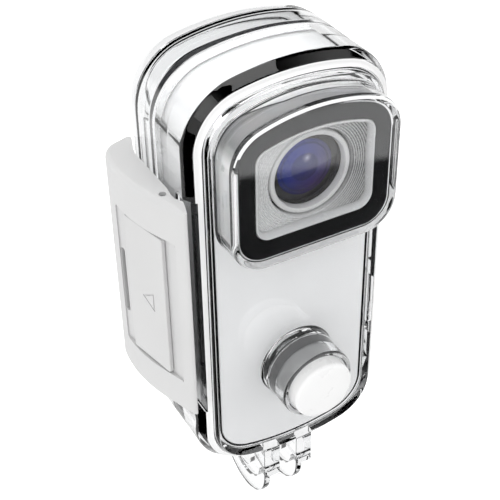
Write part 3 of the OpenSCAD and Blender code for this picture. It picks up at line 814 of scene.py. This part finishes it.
# ------------------------------------------------------------------ push button
cap = lathe("cap", [(0, -9.6), (2.0, -9.6), (4.2, -9.58), (4.5, -9.54), (4.72, -9.44), (4.87, -9.28), (4.94, -9.05), (4.94, -7.2), (4.94, -4.4),
                    (4.85, -4.2), (4.1, -4.2), (4.0, -4.3), (4.0, -8.2), (2.4, -8.2), (2.4, -6.0), (1.5, -6.0), (1.5, -8.2), (0, -8.2)], 0, BTN_Z, 128)
place(cap, "vis_button_cap", "push_button", WHITE_CAP, ("button_cap",))
cap.data.materials.append(CAP_SIDE_SHADE)
# painted shade on the cap's side, behind the collar
for p in cap.data.polygons:
    yc = (p.center.y - OY) * 1e3
    if yc > -7.25 and math.hypot(p.center.x * 1e3, (p.center.z - OZ) * 1e3 - BTN_Z) > 4.5:
        p.material_index = 1
sh = lathe("sh", [(0, -8.2), (1.5, -8.2), (1.5, -2.23), (1.12, -2.22), (1.12, -1.82), (1.5, -1.81), (1.5, -1.77), (1.12, -1.76), (1.12, -1.36),
                  (1.5, -1.35), (1.5, -0.42), (1.0, -0.41), (1.0, -0.09), (1.5, -0.08), (1.5, 0.4), (1.35, 0.55), (0, 0.55)], 0, BTN_Z, 64)
place(sh, "vis_button_shaft", "push_button", STEEL, ("button_shaft",))
ors = []
for k, y in enumerate((-2.02, -1.56)):
    o = lathe("or", [(1.33 + 0.19 * math.cos(2 * math.pi * i / 16), y + 0.19 * math.sin(2 * math.pi * i / 16)) for i in range(16)], 0, BTN_Z, 48, wrap=True)
    ors.append(o)
orr = boolean(ors[0], [ors[1]], "UNION")
place(orr, "vis_button_o_rings", "push_button", RUBBER, ("button_o_rings",))
# coil spring, swept wire
turns, steps, sides = 4, 32, 10
wire, cr_, y0, y1 = 0.3, 2.9, -8.1, -2.4
rings = []
n = turns * steps
for i in range(n + 1):
    t = 2 * math.pi * i / steps
    yc = y0 + wire + (y1 - y0 - 2 * wire) * i / n
    rings.append([((cr_ + wire * math.cos(s)) * math.cos(t), yc + wire * math.sin(s), BTN_Z + (cr_ + wire * math.cos(s)) * math.sin(t))
                  for s in [2 * math.pi * j / sides for j in range(sides)]])
sp = loft("sp", rings)
place(sp, "vis_button_spring", "push_button", STEEL, ("button_spring",))
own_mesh(sp)
cl = lathe("cl", [(1.02, -0.38), (2.85, -0.38), (2.9, -0.33), (2.9, -0.17), (2.85, -0.12), (1.02, -0.12)], 0, BTN_Z, 64, wrap=True)
cl = boolean(cl, [rbox("x", (-0.6, -1, BTN_Z - 4), (0.6, 1, BTN_Z - 0.6), 0)], "DIFFERENCE")
place(cl, "vis_button_circlip", "push_button", STEEL, ("button_circlip",))

# ------------------------------------------------------------------ camera body
fp = slab("fp", pill, [(3.65, 2.0), (3.65, 1.2), (3.68, 1.05), (3.76, 0.95), (3.9, 0.9)])
fp = boolean(fp, [slab("x", hood, [(1.15, 0.0), (1.15, 3.0)]), lathe("y", [(4.95, 0.5), (4.8, 1.1), (4.8, 3)], 0, BTN_Z)], "DIFFERENCE")
tidy(fp)
place(fp, "vis_camera_front", "housing", WHITE, ("camera_front_panel",))

fr = slab("fr", pill, [(3.6, 1.0), (3.4, 1.0), (3.27, 1.05), (3.2, 1.2), (3.2, 2.5), (3.2, 3.78), (3.24, 3.85), (4.9, 3.85), (4.9, 2.03), (3.62, 2.03)], wrap=True)
bosses = []
for x in (-10.5, 10.5):
    for z in (-23, 23):
        bosses.append(lathe("b", [(1.5, 2.05), (1.5, 3.85)], x, z, 32))
        xa, xb = sorted((x, math.copysign(11.9, x)))
        bosses.append(rbox("b", (xa, 2.06, z - 1), (xb, 3.84, z + 1), 0))
fr = boolean(fr, bosses, "UNION")
fr = boolean(fr, [lathe("h", [(0.8, 0), (0.8, 6)], x, z, 24) for x in (-10.5, 10.5) for z in (-23, 23)], "DIFFERENCE")
place(fr, "vis_camera_frame", "housing", BLACK, ("camera_frame",))

rc = slab("rc", pill, [(3.24, 3.88), (3.2, 3.96), (3.2, 8), (3.2, 13.6), (3.24, 14.1), (3.36, 14.55), (3.58, 14.9), (3.9, 15.12), (4.3, 15.2)])
rcc = [slab("i", pill, [(4.5, 3.0), (4.5, 13.9)]), rbox("m", (3.6, 12.2, 29), (5.4, 12.9, 34), 0.3, 3), rbox("u", (10, 7.4, -16.6), (15, 10.9, -7.4), 0.8, 4)]
rc = boolean(rc, rcc, "DIFFERENCE")
tidy(rc)
place(rc, "vis_camera_cover", "housing", WHITE_BACK, ("camera_rear_cover",))

rb = lathe("rb", [(0, 0.95), (4.2, 0.95), (4.38, 1.0), (4.45, 1.15), (4.45, 1.7), (4.4, 1.75), (1.6, 1.75), (1.6, 2.6), (1.5, 2.7), (0, 2.7)], 0, BTN_Z, 96)
place(rb, "vis_record_button", "camera_button", WHITE, ("record_button",))

# ------------------------------------------------------------------ lens module
lh = slab("lh", hood, [(1.2, 1.98), (1.2, -1.0), (1.2, -4.5), (1.22, -4.62), (1.3, -4.7)])
lh = boolean(lh, [slab("x", square, [(-0.25, -6), (-0.25, 3)]), lathe_x("v", [(0.45, -13.0), (0.45, -11.0)], -2.9, 24.7, 24)], "DIFFERENCE")
tidy(lh)
place(lh, "vis_lens_housing", "housing", LENS_WHITE, ("lens_housing",))

lpn = slab("lp", hood, [(1.35, -4.72), (1.25, -4.75), (1.25, -5.13), (1.29, -5.22), (1.38, -5.25)])
lpn = boolean(lpn, [slab("x", square, [(-0.1, -6), (-0.1, 3)])], "DIFFERENCE")
tidy(lpn)
place(lpn, "vis_lens_panel", "housing", PANEL, ("lens_panel",))

tr = slab("tr", square, [(0.0, -4.6), (0.0, -5.15), (0.04, -5.26), (0.14, -5.3), (0.3, -5.27), (0.5, -5.05), (0.66, -4.75), (0.7, -4.4), (0.7, -2.4), (-0.2, -2.4), (-0.2, -4.6)], wrap=True)
place(tr, "vis_lens_trim", "housing", TRIM, ("lens_trim",))

# ribbed plate round the lens
SEG = 360
bound = square(0.75)


def ray_to_bound(ang):
    dx, dz = math.cos(ang), math.sin(ang)
    best = None
    n = len(bound)
    for i in range(n):
        x1, z1 = bound[i]
        x2, z2 = bound[(i + 1) % n]
        z1, z2 = z1 - LENS_Z, z2 - LENS_Z
        den = dx * (z2 - z1) - dz * (x2 - x1)
        if abs(den) < 1e-12:
            continue
        t = (x1 * (z2 - z1) - z1 * (x2 - x1)) / den
        s = (x1 * dz - z1 * dx) / den
        if t > 0 and -1e-9 <= s <= 1 + 1e-9:
            best = t if best is None else max(best, t)
    return best


RB = [ray_to_bound(2 * math.pi * i / SEG) for i in range(SEG)]
RI = 6.7
rad = [RI, RI + 0.12]
r = 6.95
while r < 12.6:
    rad.append(r)
    r += PITCH / 6


def plate_y(r):
    base = -3.95 - 0.40 * min(1.0, (r - RI) / 5.0)
    amp = 0.13 if r > 6.9 else 0.0
    return base - amp * (0.5 + 0.5 * math.cos(2 * math.pi * (r - 6.95) / PITCH))


rings = [[(RI * math.cos(2 * math.pi * i / SEG), -1.2, LENS_Z + RI * math.sin(2 * math.pi * i / SEG)) for i in range(SEG)],
         [(RI * math.cos(2 * math.pi * i / SEG), -3.85, LENS_Z + RI * math.sin(2 * math.pi * i / SEG)) for i in range(SEG)]]
for rk in rad[1:]:
    ring_ = []
    for i in range(SEG):
        rr_ = min(rk, RB[i])
        ring_.append((rr_ * math.cos(2 * math.pi * i / SEG), plate_y(rr_), LENS_Z + rr_ * math.sin(2 * math.pi * i / SEG)))
    rings.append(ring_)
rings.append([(RB[i] * math.cos(2 * math.pi * i / SEG), plate_y(RB[i]), LENS_Z + RB[i] * math.sin(2 * math.pi * i / SEG)) for i in range(SEG)])
rings.append([(RB[i] * math.cos(2 * math.pi * i / SEG), -1.2, LENS_Z + RB[i] * math.sin(2 * math.pi * i / SEG)) for i in range(SEG)])
bf = loft("bf", rings, wrap=True)
place(bf, "vis_lens_baffle", "housing", BAFFLE, ("lens_baffle",), angle=50, weighted=False)

rg = lathe("rg", [(6.4, -1.4), (6.4, -3.45), (6.36, -3.64), (6.25, -3.76), (6.1, -3.8), (5.78, -3.8), (5.66, -3.76), (5.6, -3.66), (5.45, -2.6), (5.45, -1.4)], 0, LENS_Z, 160, wrap=True)
place(rg, "vis_lens_ring", "housing", RING, ("lens_ring",))
ba = lathe("ba", [(6.4, -1.38), (6.4, 4.0), (5.4, 4.0), (5.4, 9.6), (4.3, 9.6), (4.3, 8.0), (3.2, 8.0), (3.2, 4.4), (4.3, 4.4),
                  (4.3, -1.2), (4.42, -1.38)], 0, LENS_Z, 128, wrap=True)
place(ba, "vis_lens_barrel", "housing", DARK, ("lens_barrel",))
Rd = 40.0
dome = [(r_, -(math.sqrt(Rd * Rd - r_ * r_) - Rd + 3.2)) for r_ in [5.42 * i / 14 for i in range(15)]]
fe = lathe("fe", [(0, -1.5), (5.3, -1.5), (5.42, -1.6)] + dome[::-1], 0, LENS_Z, 128)
place(fe, "vis_front_lens", "housing", LENSGLASS, ("front_lens_element",))
fe.data.materials.append(LENS_COAT_AND_GLINT)
for p in fe.data.polygons:
    if p.normal.y > -0.1:
        p.material_index = 1


def lens_disc(r, ya, yb, Ra):
    pts = [(r_, ya + Ra - math.sqrt(Ra * Ra - r_ * r_)) for r_ in [r * i / 10 for i in range(11)]]
    return [(0, yb), (r, yb)] + pts[::-1]


e1 = lathe("e1", lens_disc(4.25, -1.0, 0.6, 22), 0, LENS_Z, 96)
others = [lathe("e", lens_disc(4.25, 1.4, 3.0, 30), 0, LENS_Z, 64), lathe("e", lens_disc(3.15, 4.9, 6.0, 20), 0, LENS_Z, 64),
          lathe("e", lens_disc(3.15, 6.6, 7.6, 20), 0, LENS_Z, 64)]
e1 = boolean(e1, others, "UNION")
place(e1, "vis_rear_lenses", "housing", LENS_COAT_AND_GLINT, ("rear_lens_elements",))

# ------------------------------------------------------------------ internals keep their CAD shape
for nd, mat in (("record_switch", DARK), ("image_sensor", DARK), ("sensor_board", BOARD), ("heat_spreader", STEEL), ("main_board", BOARD),
                ("battery", FOIL), ("speaker", DARK), ("microphone", GOLD), ("usb_socket", STEEL), ("card_socket", STEEL),
                ("memory_card", DARK), ("frame_screws", STEEL), ("holding_magnets", STEEL)):
    o = NODES[nd]
    if not o.material_slots:
        o.data.materials.append(mat)
    for s in o.material_slots:
        s.material = mat

# ------------------------------------------------------------------ stage
fb = CAD_BOX[0][2] - 0.0006
fm = bpy.data.meshes.new("floor")
S = 1.5
fm.from_pydata([(-S, -S, fb), (S, -S, fb), (S, S, fb), (-S, S, fb)], [], [(0, 1, 2, 3)])
floor = bpy.data.objects.new("floor", fm)
bpy.context.scene.collection.objects.link(floor)
m, nt, bs, out, tc = base_material("floor_paper")
n = noise(nt, tc, 8, 3)
cr = ramp(nt, n.outputs["Fac"], [(0.3, (0.93, 0.93, 0.93)), (0.7, (0.95, 0.95, 0.95))])
nt.links.new(cr.outputs["Color"], bs.inputs["Base Color"])
bs.inputs["Roughness"].default_value = 0.9
bs.inputs["Specular IOR Level"].default_value = 0.0
bs.inputs["Emission Color"].default_value = (1, 1, 1, 1)
bs.inputs["Emission Strength"].default_value = 0.30
fm.materials.append(m)
floor.visible_glossy = False
floor.visible_transmission = False

world = bpy.data.worlds.new("studio")
bpy.context.scene.world = world
world.use_nodes = True
wn = world.node_tree
bg = next(x for x in wn.nodes if x.type == "BACKGROUND")
wt = wn.nodes.new("ShaderNodeTexCoord")
sx = wn.nodes.new("ShaderNodeSeparateXYZ")
wn.links.new(wt.outputs["Generated"], sx.inputs[0])


def wmath(op, a, b=None, clamp=False):
    n = wn.nodes.new("ShaderNodeMath")
    n.operation = op
    n.use_clamp = clamp
    for i, v in enumerate((a, b)):
        if v is None:
            continue
        if isinstance(v, (int, float)):
            n.inputs[i].default_value = v
        else:
            wn.links.new(v, n.inputs[i])
    return n.outputs[0]


def step(src, lo, hi):
    m = wn.nodes.new("ShaderNodeMapRange")
    m.interpolation_type = "SMOOTHSTEP"
    m.inputs["From Min"].default_value = lo
    m.inputs["From Max"].default_value = hi
    wn.links.new(src, m.inputs["Value"])
    return m.outputs["Result"]


# in front of the object: a bright bank that starts 33 degrees below the horizon
# behind the object: white paper below, dark room above
tilt = wn.nodes.new("ShaderNodeVectorMath")
tilt.operation = "DOT_PRODUCT"
tilt.inputs[1].default_value = (0.1578, -0.5343, 0.8305)
wn.links.new(wt.outputs["Generated"], tilt.inputs[0])
front = wmath("MULTIPLY", step(tilt.outputs["Value"], -0.004, 0.004), wmath("SUBTRACT", 1.0, step(sx.outputs["Z"], 0.72, 0.95)))
back = wmath("SUBTRACT", 1.0, step(sx.outputs["Z"], 0.05, 0.2))
isback = step(sx.outputs["Y"], -0.02, 0.02)
dirs = wmath("ADD", wmath("MULTIPLY", back, isback), wmath("MULTIPLY", front, wmath("SUBTRACT", 1.0, isback)))
lp = wn.nodes.new("ShaderNodeLightPath")
first = wmath("SUBTRACT", 1.0, wmath("MINIMUM", lp.outputs["Diffuse Depth"], 1.0))
sharp = wmath("MULTIPLY", wmath("MAXIMUM", lp.outputs["Is Glossy Ray"], lp.outputs["Is Transmission Ray"]), first)
soft = wmath("SUBTRACT", 1.0, sharp)
level = wmath("ADD", wmath("MULTIPLY", dirs, sharp), wmath("MULTIPLY", soft, 1.18))
wn.links.new(wmath("MULTIPLY", level, 1.02), bg.inputs["Strength"])
bg.inputs["Color"].default_value = (1, 1, 1, 1)


def area(name, loc, aim, size, power, size_y=None):
    L = bpy.data.lights.new(name, "AREA")
    L.shape = "RECTANGLE"
    L.size = size
    L.size_y = size_y or size
    L.energy = power
    o = bpy.data.objects.new(name, L)
    o.location = Vector(P(*loc))
    o.rotation_mode = "QUATERNION"
    o.rotation_quaternion = (Vector(P(*aim)) - o.location).to_track_quat("-Z", "Y")
    bpy.context.scene.collection.objects.link(o)
    o.visible_camera = False
    return o


area("key", (-260, -160, 300), (0, 5, 0), 0.25, 0.25)
area("top", (0, 60, 400), (0, 5, 0), 0.3, 0.8)

# ------------------------------------------------------------------ camera
cam = bpy.data.cameras.new("cam")
cam.sensor_width = 36
cam.lens = 36 * 1157.94 / 500
cam.clip_start = 0.005
cam.clip_end = 10
co = bpy.data.objects.new("cam", cam)
bpy.context.scene.collection.objects.link(co)
right = Vector((0.87213, -0.48909, -0.01361)).normalized()
fwd = Vector((0.38405, 0.70153, -0.60030)).normalized()
up = right.cross(fwd).normalized()
loc = Vector(P(-70.432, -115.532, 106.497))
co.matrix_world = Matrix(((right.x, up.x, -fwd.x, loc.x), (right.y, up.y, -fwd.y, loc.y), (right.z, up.z, -fwd.z, loc.z), (0, 0, 0, 1)))
bpy.context.scene.camera = co
bpy.context.scene.view_settings.view_transform = "Standard"
bpy.context.scene.view_settings.look = "None"
